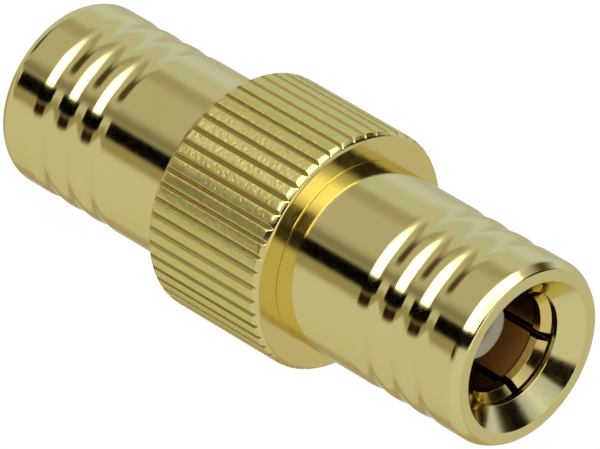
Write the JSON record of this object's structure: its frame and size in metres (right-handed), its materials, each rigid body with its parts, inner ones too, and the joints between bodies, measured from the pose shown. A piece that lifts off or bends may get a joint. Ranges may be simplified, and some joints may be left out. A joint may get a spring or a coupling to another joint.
{
  "type": "smb coaxial adapter",
  "caption": "Gold-plated in-line coaxial adapter with a straight-knurled collar and a push-on slotted socket in each grooved barrel.",
  "frame": {"origin": "centre of the bottom rim, on the surface that the adapter stands on", "axes": "+Z along the common axis, from the lower mouth to the upper mouth; X and Y are square to it"},
  "size_m": [0.0082, 0.0082, 0.021],
  "materials": {
    "knurled_brass": "straight knurl, gold plated over brass",
    "polished_brass": "turned and polished, gold plated over brass",
    "spring_contact": "gold plated over beryllium copper",
    "ptfe": "machined, slightly translucent"
  },
  "bodies": {
    "root": {"knurled_body": "knurled_brass", "upper_barrel": "polished_brass", "lower_barrel": "polished_brass", "upper_collet": "spring_contact", "lower_collet": "spring_contact", "upper_insulator": "ptfe", "lower_insulator": "ptfe", "centre_contact": "spring_contact"}
  },
  "joints": []
}
